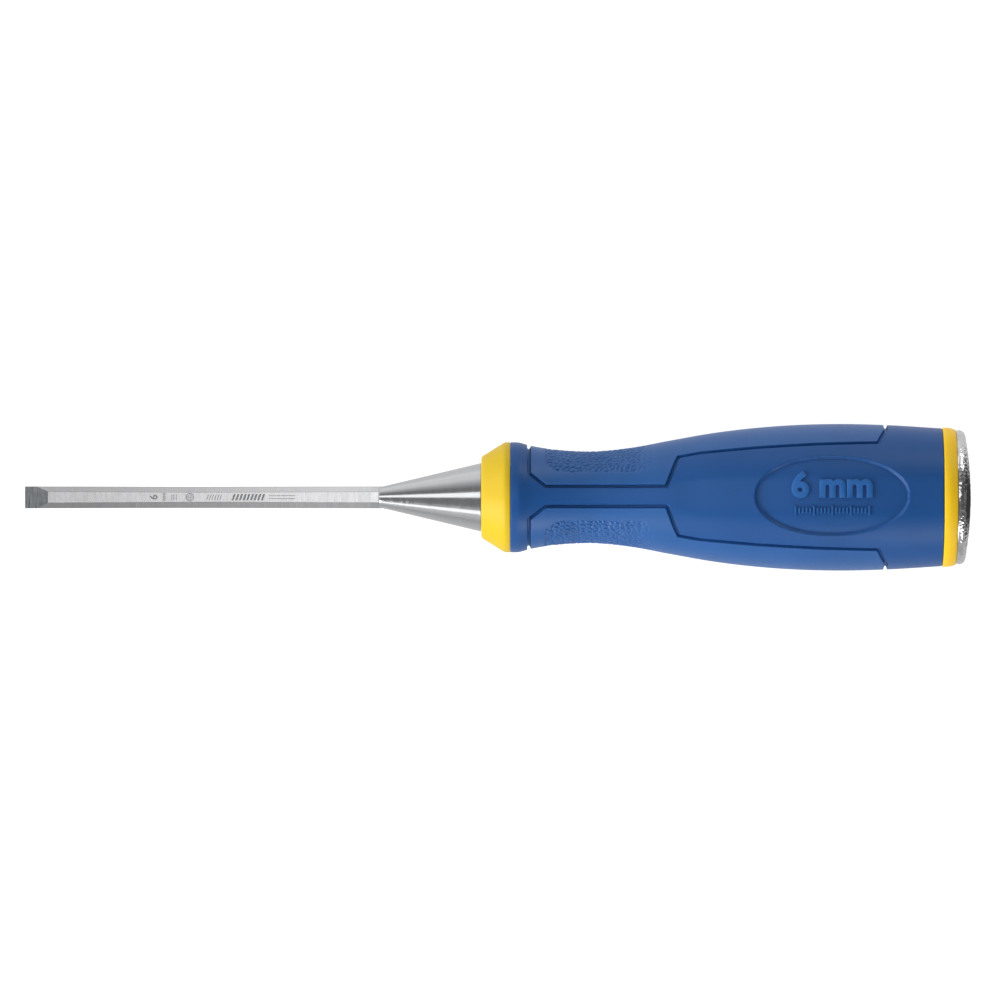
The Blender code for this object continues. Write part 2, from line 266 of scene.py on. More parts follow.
# Light, as radiance where white is 1. The far side of the studio is its +Y side.
SHEET_HALF = 4.0
FLOOR_HEIGHT = -0.2 * MM
FLOOR_GLOW = 0.85
BOUNCE_HEIGHT = -2.0 * MM
BOUNCE_NEAR, BOUNCE_FAR = 0.5, 1.0
BOUNCE_BLEND = 0.15  # half width of the strip where the one turns into the other
REAR_SHADE = (0.42, 0.62)  # bearings from +X between which the bounce sheet goes from dark to light
REAR_SHADE_SHARE = 0.06  # what is left of its light in the dark part
# A lean is the length of a direction's level part, squeezed along X, so that 0 is overhead.
WORLD_SQUEEZE = (0.72, 1.0, 0.0)
WORLD_LEANS = (0.0, 0.6, 0.8, 0.92, 1.0)
WORLD_NEAR = (0.2, 0.22, 0.6, 0.8, 0.6)
WORLD_FAR = (0.2, 0.24, 0.6, 0.95, 1.0)
WORLD_BLEND = 0.25
# (position, value) stops from the -X horizon to the +X one: what is left of that light, what is added
WORLD_REAR_SHADE = [(0.5, 1.0), (0.7, 0.52)]
WORLD_TIP_GLOW = [(0.0, 1.0), (0.25, 0.0)]
# (name, tilt, turn, distance, width, length, radiance, place along X), in degrees and metres
SOFT_BOXES = [
    ("overhead", -7.3, 0, 1.5, 0.5, 1.4, 1.5, -0.6),
    ("key", 57.5, 0, 1.3, 0.3, 2.0, 1.25, -0.3),
    ("side_left", 72, 58, 1.4, 0.5, 1.2, 4.8, 0.0),
    ("side_right", 72, -28, 1.4, 0.5, 0.7, 4.8, 0.0),
    ("far_left", 72, 112, 1.4, 0.45, 0.8, 3.2, 0.0),
    ("far_right", 68, -150, 1.4, 0.5, 0.7, 3.2, 0.0),
    ("front", 61, 62, 0.414, 0.14, 0.2, 7.0, 0.02),
]


# ---------------------------------------------------------------- small maths
def smoothstep(low, high, x):
    t = np.clip((np.asarray(x, float) - low) / (high - low), 0.0, 1.0)
    return t * t * (3 - 2 * t)


def curve_value(points, stations):
    """Values at stations on a smooth curve through (station, value) points."""
    s, v = (np.array(column) for column in zip(*points))
    slopes = np.gradient(v, s)
    x = np.clip(stations, s[0], s[-1])
    k = np.clip(np.searchsorted(s, x, side="right") - 1, 0, len(s) - 2)
    span = s[k + 1] - s[k]
    t = (x - s[k]) / span
    return (
        (2 * t**3 - 3 * t**2 + 1) * v[k]
        + (t**3 - 2 * t**2 + t) * span * slopes[k]
        + (3 * t**2 - 2 * t**3) * v[k + 1]
        + (t**3 - t**2) * span * slopes[k + 1]
    )


def line_value(points, stations):
    s, v = zip(*points)
    return np.interp(stations, s, v)


def cell_distances(points, seed):
    """Distances to the nearest and next nearest of jittered seeds, one in each unit cell.

    The points are in cells, at positive places.
    """
    points = np.asarray(points, float)
    size = points.shape[1]
    table = np.random.RandomState(seed).rand(64, 64, 64 if size == 3 else 1, size) * 0.8 + 0.1
    home = np.floor(points).astype(int)
    nearest = np.full(len(points), 9.0)
    second = np.full(len(points), 9.0)
    for step in np.ndindex(*([3] * size)):
        cell = home + np.array(step) - 1
        index = [cell[:, i] % 64 for i in range(size)] + ([0] if size == 2 else [])
        gap = np.linalg.norm(cell + table[tuple(index)] - points, axis=1)
        second = np.minimum(second, np.maximum(nearest, gap))
        nearest = np.minimum(nearest, gap)
    return nearest, second


# ---------------------------------------------------------------- mesh helpers
def world(stations, y, z):
    """World points for stations, with y and z from the tool's axis."""
    return np.stack(np.broadcast_arrays(TIP_X + stations, y, AXIS_Z + z), axis=-1)


def finish_mesh(name, mesh_data):
    """Merges double points, faces the mesh outwards and returns it as a smooth-shaded object."""
    mesh = bmesh.new()
    mesh.from_mesh(mesh_data)
    bmesh.ops.remove_doubles(mesh, verts=mesh.verts, dist=SAME_POINT)
    bmesh.ops.dissolve_degenerate(mesh, edges=mesh.edges, dist=SAME_POINT)
    bmesh.ops.recalc_face_normals(mesh, faces=mesh.faces)
    mesh.to_mesh(mesh_data)
    mesh.free()
    mesh_data.shade_smooth()
    mesh_data.set_sharp_from_angle(angle=SHARP_ANGLE)
    thing = bpy.data.objects.new(name, mesh_data)
    bpy.context.scene.collection.objects.link(thing)
    return thing


def skin(name, rings):
    """A closed surface over an array of rings, with a face on the first and on the last."""
    count, size = rings.shape[:2]
    first = (np.arange(count - 1) * size)[:, None]
    here, beside = np.arange(size)[None, :], (np.arange(size) + 1)[None, :] % size
    quads = np.stack([first + here, first + beside, first + size + beside, first + size + here], axis=-1)
    faces = quads.reshape(-1, 4).tolist()
    faces.append(list(range(size)))
    faces.append(list(range((count - 1) * size, count * size)))
    data = bpy.data.meshes.new(name)
    data.from_pydata(rings.reshape(-1, 3).tolist(), [], faces)
    return finish_mesh(name, data)


def turned(name, profile, steps):
    """A solid of revolution about the tool's axis from (station, radius) points."""
    angles = np.linspace(0, 2 * math.pi, steps, endpoint=False)
    s, r = (np.array(column)[:, None] for column in zip(*profile))
    return skin(name, world(s, r * np.sin(angles), r * np.cos(angles)))


def arc_points(centre, radius, start_deg, end_deg, steps):
    """(station, radius) points on an arc, with angles from the tool's rearward direction."""
    angles = np.radians(np.linspace(start_deg, end_deg, steps + 1))
    return [(centre[0] + radius * math.cos(a), centre[1] + radius * math.sin(a)) for a in angles]


def square_bar(name, start, end, start_side, end_side):
    """A tapered square bar on the tool's axis."""
    square = np.array([(-1, -1), (1, -1), (1, 1), (-1, 1)]) / 2
    rings = [world(s, *(square * side).T) for s, side in ((start, start_side), (end, end_side))]
    return skin(name, np.array(rings))


def combine(thing, helper, operation, sharp=SHARP_ANGLE):
    """Joins a helper solid to a piece or cuts it away, and removes the helper."""
    step = thing.modifiers.new("combine", "BOOLEAN")
    step.operation = operation
    step.solver = "EXACT"
    step.object = helper
    graph = bpy.context.evaluated_depsgraph_get()
    data = bpy.data.meshes.new_from_object(thing.evaluated_get(graph), depsgraph=graph)
    thing.modifiers.clear()
    thing.data = data
    bpy.data.objects.remove(helper, do_unlink=True)
    data.shade_smooth()
    data.set_sharp_from_angle(angle=sharp)


def place_piece(thing, node):
    """Makes a thing a piece of the tool, on its only body and, if a node is given, in its place."""
    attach(thing, "root")
    if node:
        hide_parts(node)


# ---------------------------------------------------------------- materials
def set_inputs(tree, node, inputs):
    """Sets each input to its value, or links it if the value is another node's output."""
    for name, value in inputs.items():
        if isinstance(value, bpy.types.NodeSocket):
            tree.links.new(value, node.inputs[name])
        else:
            node.inputs[name].default_value = value


def add_node(tree, kind, inputs, **settings):
    made = tree.nodes.new(kind)
    for key, value in settings.items():
        setattr(made, key, value)
    set_inputs(tree, made, inputs)
    return made


class Paint:
    """A node material with short calls for the textures in it. Texture scales are per millimetre."""

    def __init__(self, name):
        self.material = bpy.data.materials.new(name)
        self.material.use_nodes = True
        self.tree = self.material.node_tree
        self.coords = self.node("ShaderNodeTexCoord", {}).outputs["Object"]

    def node(self, kind, inputs, **settings):
        return add_node(self.tree, kind, inputs, **settings)

    def noise(self, scale, detail=2.0, roughness=0.5):
        """Noise with one scale, or with a scale on each axis."""
        scale = scale if isinstance(scale, tuple) else (scale, scale, scale)
        inputs = {"Vector": self.coords, "Scale": [value / MM for value in scale]}
        place = self.node("ShaderNodeMapping", inputs).outputs["Vector"]
        inputs = {"Vector": place, "Scale": 1.0, "Detail": detail, "Roughness": roughness}
        return self.node("ShaderNodeTexNoise", inputs).outputs["Fac"]

    def math(self, operation, first, second=0.0):
        return self.node("ShaderNodeMath", {0: first, 1: second}, operation=operation).outputs[0]

    def ranged(self, value, low, high, out_low, out_high):
        inputs = {"Value": value, "From Min": low, "From Max": high, "To Min": out_low, "To Max": out_high}
        return self.node("ShaderNodeMapRange", inputs).outputs[0]

    def mix(self, factor, first, second):
        inputs = {0: factor, 6: first, 7: second}
        for index in (6, 7):
            if not isinstance(inputs[index], bpy.types.NodeSocket):
                inputs[index] = (*inputs[index], 1.0)
        return self.node("ShaderNodeMix", inputs, data_type="RGBA").outputs[2]

    def station(self):
        """The station of the shaded point, in millimetres."""
        split = self.node("ShaderNodeSeparateXYZ", {0: self.coords})
        return self.math("MULTIPLY", self.math("SUBTRACT", split.outputs[0], TIP_X), 1 / MM)

    def bump(self, height, depth, strength):
        inputs = {"Strength": strength, "Distance": depth, "Height": height}
        return self.node("ShaderNodeBump", inputs).outputs["Normal"]

    def finish(self, **sockets):
        """Sets the shader's inputs, with their spaces as underscores, and gives the material."""
        inputs = {name.replace("_", " "): value for name, value in sockets.items()}
        set_inputs(self.tree, self.tree.nodes["Principled BSDF"], inputs)
        return self.material


def moulded_plastic(name, dark, light, roughness, grain, gloss, front=None):
    """Moulded plastic: slow colour drift, fine spark-eroded grain, and roughness that varies with it.

    front is its dark and its light colour at the handle's front end, if they differ from the rear's: the
    front is painted darker and the rear lighter, painted shade and painted light for how strongly the lamps
    reach each end.
    """
    paint = Paint(name)
    drift = paint.noise(0.06, detail=3.0)
    fine = paint.noise(1.6, detail=4.0, roughness=0.6)
    tone = paint.math("ADD", paint.math("MULTIPLY", drift, 0.75), paint.math("MULTIPLY", fine, 0.25))
    drifted = paint.ranged(tone, 0.35, 0.65, 0.0, 1.0)
    colour = paint.mix(drifted, dark, light)
    if front:
        # painted light and shade: the colours go from the darker front ones to the lighter rear ones along
        # the handle
        painted_light_rearward = paint.ranged(paint.station(), *PLASTIC_PAINTED_LIGHT_FADE, 0.0, 1.0)
        colour = paint.mix(painted_light_rearward, paint.mix(drifted, *front), colour)
    rough = paint.ranged(fine, 0.3, 0.7, roughness - 0.05, roughness + 0.06)
    pits = paint.noise(5.0, detail=2.0)
    normal = paint.bump(pits, grain, 0.6)
    return paint.finish(Base_Color=colour, Roughness=rough, Specular_IOR_Level=gloss, Normal=normal)


def ground_steel(name, dark, light, roughness, across, depth, tip_shade_share=1.0):
    """Steel with grinding lines. across is the lines' pitch scale on each axis, per millimetre.

    The tip's share is painted shade: how bright the steel is painted near the tip, where its reflections
    are dimmer, as a share of its brightness near the bolster.
    """
    paint = Paint(name)
    lines = paint.noise(across, detail=5.0, roughness=0.65)
    smear = paint.noise(0.35, detail=3.0)
    tone = paint.math("ADD", paint.math("MULTIPLY", lines, 0.6), paint.math("MULTIPLY", smear, 0.4))
    colour = paint.mix(paint.ranged(tone, 0.35, 0.65, 0.0, 1.0), dark, light)
    # painted shade: the steel's colour is darkened towards the tip
    share = paint.ranged(paint.station(), *STEEL_SHADE_FADE, tip_shade_share, 1.0)
    colour = paint.mix(share, (0, 0, 0), colour)
    rough = paint.ranged(lines, 0.3, 0.7, roughness - 0.06, roughness + 0.08)
    normal = paint.bump(lines, depth, 0.5)
    return paint.finish(Base_Color=colour, Metallic=1.0, Roughness=rough, Normal=normal)


def plated_steel(name):
    """Bright plate over a dimpled cap, with a faint cloudiness."""
    paint = Paint(name)
    cloud = paint.noise(0.9, detail=4.0)
    peel = paint.noise(2.6, detail=2.0)
    colour = paint.mix(paint.ranged(cloud, 0.35, 0.65, 0.0, 1.0), (0.52, 0.52, 0.53), (0.64, 0.64, 0.64))
    rough = paint.ranged(cloud, 0.3, 0.7, 0.04, 0.1)
    normal = paint.bump(peel, 0.05 * MM, 0.4)
    return paint.finish(Base_Color=colour, Metallic=1.0, Roughness=rough, Normal=normal)


def etched_ink(name):
    """Marks etched in the blade: dull, darker and rough."""
    paint = Paint(name)
    speck = paint.noise(4.0, detail=3.0)
    colour = paint.mix(paint.ranged(speck, 0.35, 0.65, 0.0, 1.0), (0.16, 0.165, 0.17), (0.27, 0.275, 0.28))
    rough = paint.ranged(speck, 0.3, 0.7, 0.5, 0.7)
    return paint.finish(Base_Color=colour, Metallic=0.6, Roughness=rough)


# ---------------------------------------------------------------- blade, bolster and tang
def blade_ring(station):
    """The blade's section at a station, with every long corner cut back to a small chamfer."""
    half = line_value(BLADE_WIDTHS, station) / 2
    face = line_value(FACE_WIDTHS, station) / 2
    top = BLADE_THICKNESS / 2
    land = SIDE_LAND - top
    right = [(half, -top), (half, land), (face, top)]
    left = [(-face, top), (-half, land)]
    corners = np.array([(-half, -top), *right, *left])
    to_next = np.roll(corners, -1, axis=0) - corners
    to_next *= BLADE_CHAMFER / np.linalg.norm(to_next, axis=1)[:, None]
    points = np.stack([corners - np.roll(to_next, 1, axis=0), corners + to_next], axis=1).reshape(-1, 2)
    return world(station, *points.T)


def grind_bevel(blade):
    """Cuts the blade along the plane of its ground bevel and closes the cut."""
    mesh = bmesh.new()
    mesh.from_mesh(blade.data)
    edge_point = Vector((TIP_X, 0, AXIS_Z - BLADE_THICKNESS / 2))
    cut = bmesh.ops.bisect_plane(
        mesh,
        geom=mesh.verts[:] + mesh.edges[:] + mesh.faces[:],
        plane_co=edge_point,
        plane_no=(-math.sin(GRIND_ANGLE), 0, math.cos(GRIND_ANGLE)),
        clear_outer=True,
    )
    rim = [item for item in cut["geom_cut"] if isinstance(item, bmesh.types.BMEdge)]
    bmesh.ops.contextual_create(mesh, geom=rim)
    bmesh.ops.recalc_face_normals(mesh, faces=mesh.faces)
    mesh.to_mesh(blade.data)
    mesh.free()


def cone_profile():
    """(station, radius) points of the bolster: blunt nose, straight cone and rounded rear corner."""
    slope = (BOLSTER_RADIUS - CONE_START_RADIUS) / (BOLSTER_END - CONE_START)
    straight = [CONE_START + 0.4 * MM, *np.linspace(98 * MM, BOLSTER_END - 0.3 * MM, 12)]
    return [
        (NOSE_START, 0.0),
        *[(NOSE_START + s, r) for s, r in NOSE_ROUNDING],
        *[(s, CONE_START_RADIUS + (s - CONE_START) * slope) for s in straight],
        (BOLSTER_END - 0.1 * MM, BOLSTER_RADIUS - 0.08 * MM),
        (BOLSTER_END, BOLSTER_RADIUS - 0.2 * MM),
        (BOLSTER_END, 0.0),
    ]


def make_blade(steel, shaded_bevel_steel, polished):
    stations = np.linspace(0, CONE_START + BLADE_ROOT, BLADE_STEPS)
    blade = skin("steel_blade", np.array([blade_ring(s) for s in stations]))
    grind_bevel(blade)
    combine(blade, turned("cone", cone_profile(), 144), "UNION")
    tang = square_bar("tang", BOLSTER_END - TANG_OVERLAP, TANG_END, *TANG_SIDES)
    combine(blade, tang, "UNION", BLADE_SHARP_ANGLE)

    data = blade.data
    data.materials.clear()
    for material in (steel, shaded_bevel_steel, polished):
        data.materials.append(material)
    for face in data.polygons:
        station = face.center.x - TIP_X
        if station > NOSE_START - 0.1 * MM:
            face.material_index = 2
        # the ground bevel gets the steel that is painted dark as painted shade
        elif face.normal.x < -math.sin(GRIND_ANGLE) * 0.8 and station < BEVEL_REACH:
            face.material_index = 1
        else:
            face.material_index = 0
    place_piece(blade, "blade")


def text_mesh(text, size, bold, extrude, round_edge=0.0, turn=0.0):
    """A flat text as a bmesh about its own centre, in the XY plane. extrude is half its height."""
    curve = bpy.data.curves.new("text", "FONT")
    curve.body = text
    curve.size = size
    curve.offset = bold
    curve.extrude = extrude
    curve.bevel_depth = round_edge
    curve.bevel_resolution = 1
    curve.resolution_u = 4
    curve.align_x = "CENTER"
    curve.align_y = "CENTER"
    thing = bpy.data.objects.new("text", curve)
    bpy.context.scene.collection.objects.link(thing)
    graph = bpy.context.evaluated_depsgraph_get()
    data = bpy.data.meshes.new_from_object(thing.evaluated_get(graph), depsgraph=graph)
    bpy.data.objects.remove(thing, do_unlink=True)
    mesh = bmesh.new()
    mesh.from_mesh(data)
    middle = (
        sum(f([v.co.x for v in mesh.verts]) for f in (min, max)) / 2,
        sum(f([v.co.y for v in mesh.verts]) for f in (min, max)) / 2,
    )
    c, s = math.cos(turn), math.sin(turn)
    for v in mesh.verts:
        x, y = v.co.x - middle[0], v.co.y - middle[1]
        v.co.x, v.co.y = c * x - s * y, s * x + c * y
    return mesh


def bar_mesh(length, width, extrude, slant=0.0):
    """A small flat bar as a bmesh about its own centre."""
    mesh = bmesh.new()
    bmesh.ops.create_cube(mesh, size=1.0)
    for v in mesh.verts:
        x, y, z = v.co.x * length, v.co.y * width, v.co.z * 2 * extrude
        v.co = (x + slant * y, y, z)
    return mesh


def ring_mesh(radius, width, extrude, steps):
    """A small flat ring as a bmesh about its own centre."""
    mesh = bmesh.new()
    loops = []
    inner = radius - width
    for r, z in ((radius, extrude), (inner, extrude), (inner, -extrude), (radius, -extrude)):
        angles = np.linspace(0, 2 * math.pi, steps, endpoint=False)
        loops.append([mesh.verts.new((r * math.cos(a), r * math.sin(a), z)) for a in angles])
    for first, second in zip(loops, loops[1:] + loops[:1]):
        for i in range(steps):
            j = (i + 1) % steps
            mesh.faces.new((first[i], first[j], second[j], second[i]))
    return mesh


def gather(name, shapes):
    """Joins flat shapes, each a (bmesh, x, y) with its place, into one mesh datablock."""
    data = bpy.data.meshes.new(name)
    whole = bmesh.new()
    for mesh, x, y in shapes:
        bmesh.ops.translate(mesh, verts=mesh.verts, vec=(x, y, 0))
        part = bpy.data.meshes.new("part")
        mesh.to_mesh(part)
        mesh.free()
        whole.from_mesh(part)
        bpy.data.meshes.remove(part)
    whole.to_mesh(data)
    whole.free()
    return data


def make_marks(ink):
    """Etched marks on the blade's face: its size, a plain ring stamp, rows of bars and two lines."""
    skim = ETCH_HEIGHT
    stamp = ETCHED_STAMP * MM
    shapes = []
    for text, size, bold, station, across in ETCHED_TEXTS:
        letters = text_mesh(text, size * MM, bold * MM, skim, turn=math.pi / 2)
        shapes.append((letters, station * MM, across * MM))
    for radius, width, steps in ETCHED_RINGS:
        shapes.append((ring_mesh(radius * MM, width * MM, skim, steps), stamp, 0))
    length, width = ETCHED_STAMP_BAR
    shapes.append((bar_mesh(length * MM, width * MM, skim), stamp, 0))
    for count, first, pitch, length, width, slant in ETCHED_ROWS:
        for i in range(count):
            bar = bar_mesh(length * MM, width * MM, skim, slant)
            shapes.append((bar, (first + pitch * i) * MM, 0))
    station, length, width, across = ETCHED_LINES
    for side in (-1, 1):
        shapes.append((bar_mesh(length * MM, width * MM, skim), station * MM, side * across * MM))
    data = gather("size_marks", shapes)
    for v in data.vertices:
        v.co = Vector((TIP_X + v.co.x, v.co.y, AXIS_Z + BLADE_THICKNESS / 2 + v.co.z))
    marks = finish_mesh("size_marks", data)
    marks.data.materials.append(ink)
    place_piece(marks, None)


# ---------------------------------------------------------------- yellow core
def barrel_radius(station):
    return BARREL_RADII[0] + (BARREL_RADII[1] - BARREL_RADII[0]) * smoothstep(*BARREL_FLARE, station)


def make_core(yellow):
    """Collar, barrel and rear ring: one moulding with a bore for the tang and one for the cap's stem."""
    front = (COLLAR_START + COLLAR_ROUNDING, COLLAR_FACE_RADIUS)
    cone_ends = (COLLAR_START + 0.25 * MM, COLLAR_CONE_END)
    cone = np.linspace(COLLAR_START + 0.6 * MM, COLLAR_CONE_END - 0.5 * MM, 8)
    barrel = (COLLAR_END, *np.linspace(*BARREL_FLARE, BARREL_STEPS), RING_START)
    lip_centre = (RING_START + RING_LIP, RING_RADIUS - RING_LIP - 0.06 * MM)
    profile = [
        (COLLAR_START, 0.0),
        *arc_points(front, COLLAR_ROUNDING, 180, 132, 8),
        *[(s, np.interp(s, cone_ends, COLLAR_CONE_RADII)) for s in cone],
        *[(s, COLLAR_RADIUS - inset) for s, inset in COLLAR_CROWN],
        *[(s, float(barrel_radius(s))) for s in barrel],
        (RING_START, RING_RADIUS - RING_LIP - 0.2 * MM),
        *arc_points(lip_centre, RING_LIP, 170, 100, 6),
        *[(s, RING_RADIUS - inset) for s, inset in RING_CROWN],
        (CORE_END, 0.0),
    ]
    core = turned("yellow_core", profile, 160)

    past = 1 * MM
    taper = (TANG_SIDES[1] - TANG_SIDES[0]) / (TANG_END - BOLSTER_END)
    mouth, floor = COLLAR_START - past, TANG_END + 2 * GAP
    sides = [TANG_SIDES[0] + taper * (s - BOLSTER_END) + 2 * GAP for s in (mouth, floor)]
    combine(core, square_bar("tang_bore", mouth, floor, *sides), "DIFFERENCE")
    start, end, radius = STEM_START - 0.5 * MM, CAP_START + past, STEM_RADIUS + GAP
    bore = [(start, 0.0), (start, radius), (end, radius), (end, 0.0)]
    combine(core, turned("stem_bore", bore, 64), "DIFFERENCE")
    core.data.materials.append(yellow)
    place_piece(core, "handle_core")


# ---------------------------------------------------------------- grip surface
def grip_points(stations, turn, depth):
    """World points on the grip, or below it by depth, for turns about the axis from +Z towards +Y."""
    step = 0.05 * MM
    radius = curve_value(GRIP_PROFILE, stations)
    before, after = (curve_value(GRIP_PROFILE, stations + shift) for shift in (-step, step))
    slope = (after - before) / (2 * step)
    along = slope / np.sqrt(1 + slope**2)
    y, z = radius * np.sin(turn), radius * np.cos(turn)
    share = 1.0 + (FLAT_SHARE - 1.0) * smoothstep(*FLAT_FADE, stations)
    start = np.minimum(FLAT_HALF, radius * share) - FLAT_BLEND * smoothstep(*FLAT_FADE, stations)
    over = np.maximum(np.abs(z) - start, 0.0)
    z = np.sign(z) * (np.minimum(np.abs(z), start) + FLAT_BLEND * np.tanh(over / FLAT_BLEND))
    inward = np.sqrt(1 - along**2) * depth
    return world(stations + along * depth, y - np.sin(turn) * inward, z - np.cos(turn) * inward)


def arc_of(station, across):
    """The arc at which a point of the surface lies a distance across from the centre plane."""
    radius = float(curve_value(GRIP_PROFILE, np.array([station]))[0])
    return radius * math.asin(across / radius)


POCKET = np.array([(s, arc_of(s, y)) for s, y in POCKET_EDGE])
POCKET_FRONT, POCKET_REAR = POCKET[0][0], POCKET[-1][0]


def line_distance(corners, stations, arcs):
    """Distance to a line of (station, arc) corners, carried straight on to the side at both its ends."""
    far = 60 * MM
    line = np.vstack([(corners[0][0], far), corners, (corners[-1][0], far)])
    best = np.full(np.broadcast(stations, arcs).shape, 1.0)
    for (s0, a0), (s1, a1) in zip(line, line[1:]):
        ds, da = s1 - s0, a1 - a0
        t = np.clip(((stations - s0) * ds + (arcs - a0) * da) / (ds * ds + da * da), 0, 1)
        best = np.minimum(best, np.hypot(stations - s0 - t * ds, arcs - a0 - t * da))
    return best


def offset_line(corners, distance):
    """The line moved towards the side by a distance, with mitred corners."""
    moved = []
    for i, corner in enumerate(corners):
        normals = []
        for a, b in ((i - 1, i), (i, i + 1)):
            if 0 <= a and b < len(corners):
                run = (corners[b] - corners[a]) / np.linalg.norm(corners[b] - corners[a])
                normals.append(np.array((-run[1], run[0])))
        middle = sum(normals) / np.linalg.norm(sum(normals))
        moved.append(corner + middle * distance / middle.dot(normals[0]))
    return np.array(moved)


def groove_depth(stations, arcs):
    distance = line_distance(POCKET, stations, arcs)
    return GROOVE_DEPTH * (1 - smoothstep(GROOVE_FLOOR, GROOVE_HALF, distance))


def pad_depth(stations, arcs):
    """Depth of the oval pad, with a short sloping wall at its rim."""
    u, v = (stations - PAD_STATION) / PAD_HALF[0], arcs / PAD_HALF[1]
    e = np.maximum(np.hypot(u, v), 1e-6)
    inside = (1 - e) * e / np.hypot(u / PAD_HALF[0], v / PAD_HALF[1]).clip(1e-6)
    return PAD_DEPTH * smoothstep(0, PAD_WALL, inside)


def pebble_depth(stations, arcs, from_side):
    """Depth of the valleys between the pebbles in each panel's textured zone."""
    zone = np.array(PEBBLE_EDGE)
    inner = np.interp(stations, zone[:, 0], zone[:, 1])
    inside = np.where(
        (stations > zone[0][0]) & (stations < zone[-1][0]) & (arcs > inner),
        line_distance(zone, stations, arcs),
        0.0,
    )
    share = smoothstep(0, PEBBLE_FADE, inside)
    share *= 1 - smoothstep(*PEBBLE_REAR_FADE, stations) * PEBBLE_REAR_LOSS
    cells = np.stack([stations / PEBBLE_SIZE[0], from_side / PEBBLE_SIZE[1] + 200], axis=-1)
    near, next_near = cell_distances(cells.reshape(-1, 2), seed=4)
    border = (next_near - near).reshape(stations.shape)
    return PEBBLE_DEPTH * share * (1 - smoothstep(*PEBBLE_VALLEY, border) * PEBBLE_TOP_LOSS)


def steps_through(*ranges):
    """Sorted stations from (start, end, pitch) ranges, without near doubles."""
    runs = [np.linspace(a, b, max(2, round((b - a) / pitch) + 1)) for a, b, pitch in ranges]
    made = np.sort(np.concatenate(runs))
    return made[np.insert(np.diff(made) > 0.02 * MM, 0, True)]


def whole_turn(quarter):
    """Turns right round from a quarter's turns, which run from the +Z face to the +Y side."""
    half = np.concatenate([quarter, math.pi - quarter[::-1]])
    return np.concatenate([half, math.pi + half])


def whole_values(quarter):
    """Values for whole_turn's turns from those of a quarter's turns."""
    return np.concatenate([quarter, quarter[::-1], quarter, quarter[::-1]])


def pocket_stations():
    """Stations for the grip's rings in the pockets: close at the grooves' corners and the pad's ends."""
    spread = steps_through(
        (POCKET_FRONT + 1.2 * MM, 143.5 * MM, 0.4 * MM),
        (143.5 * MM, 173.5 * MM, 1.2 * MM),
        (173.5 * MM, 179.5 * MM, 0.36 * MM),
        (179.5 * MM, 197.5 * MM, 1.1 * MM),
        (197.5 * MM, 208.0 * MM, PAD_PITCH),
        (208.0 * MM, 231.0 * MM, 0.55 * MM),
        (231.0 * MM, POCKET_REAR - 1.2 * MM, PAD_PITCH),
    )
    return np.sort(np.concatenate([POCKET_FRONT + GROOVE_STEPS, POCKET_REAR - GROOVE_STEPS, spread]))


def band_stations():
    """Stations for the rings of the grip's front band, then for those of its rear band."""
    pad_end = PAD_STATION + PAD_HALF[0] + 0.5 * MM
    front = steps_through((GRIP_START + 0.5 * MM, POCKET_FRONT - 1.1 * MM, 0.35 * MM))
    rear = steps_through(
        (POCKET_REAR + 1.1 * MM, pad_end, PAD_PITCH),
        (pad_end, GRIP_END - 0.6 * MM, 0.6 * MM),
    )
    lip = np.array([0, 0.04, 0.12, 0.25]) * MM
    return (
        np.concatenate([GRIP_START + lip, front, (POCKET_FRONT - GROOVE_STEPS)[::-1]]),
        np.concatenate([POCKET_REAR + GROOVE_STEPS, rear, (GRIP_END - lip)[::-1]]),
    )


def end_lip(stations):
    """How far the grip's two end edges are rounded back."""
    from_end = np.minimum(stations - GRIP_START, GRIP_END - stations)
    t = np.clip(1 - from_end / END_LIP, 0, 1)
    return END_LIP * (1 - np.sqrt(1 - t**2))


BODY_LINES = [offset_line(POCKET, -d) for d in GROOVE_STEPS[::-1]]
PANEL_LINES = [offset_line(POCKET, d) for d in GROOVE_STEPS]


def quarter_length(station):
    """The arc from the middle of a face to the grip's side."""
    return float(curve_value(GRIP_PROFILE, np.array([station]))[0]) * math.pi / 2


def body_ring(station, pocket):
    """One ring of the grip body: middle of a face, rest of the spine, groove's edge, then the side.

    In a pocket, the side is its floor.
    """
    quarter_arc = quarter_length(station)
    edge = np.array([np.interp(station, line[:, 0], line[:, 1]) for line in BODY_LINES])
    reach = min(PAD_REACH, 0.9 * edge[0])
    middle = np.linspace(0, reach, MIDDLE_POINTS, endpoint=False)
    spine = np.linspace(reach, edge[0], SPINE_POINTS, endpoint=False)
    side = np.linspace(edge[-1], quarter_arc, SIDE_POINTS)
    arcs = np.concatenate([middle, spine, edge, side])
    depth = groove_depth(station, arcs) + pad_depth(station, arcs) + end_lip(station)
    if pocket:
        depth[-SIDE_POINTS:] = PANEL_THICKNESS + GAP
    turn = whole_turn(arcs / quarter_arc * math.pi / 2)
    return grip_points(np.full(turn.shape, station), turn, whole_values(depth))


def make_grip_body(blue):
    front, rear = band_stations()
    wall = GROOVE_STEPS[0]
    inside = (POCKET_FRONT - wall, *pocket_stations(), POCKET_REAR + wall)
    rings = [body_ring(s, False) for s in front]
    rings += [body_ring(s, True) for s in inside]
    rings += [body_ring(s, False) for s in rear]
    body = skin("blue_grip", np.array(rings))

    past = 1 * MM
    barrel = (GRIP_START - past, *np.linspace(*BARREL_FLARE, BARREL_STEPS), GRIP_END + past)
    bore = [(s, float(barrel_radius(s)) + GAP) for s in barrel]
    bore = [(bore[0][0], 0.0), *bore, (bore[-1][0], 0.0)]
    combine(body, turned("barrel_bore", bore, 96), "DIFFERENCE")
    body.data.materials.append(blue)
    place_piece(body, "grip_body")


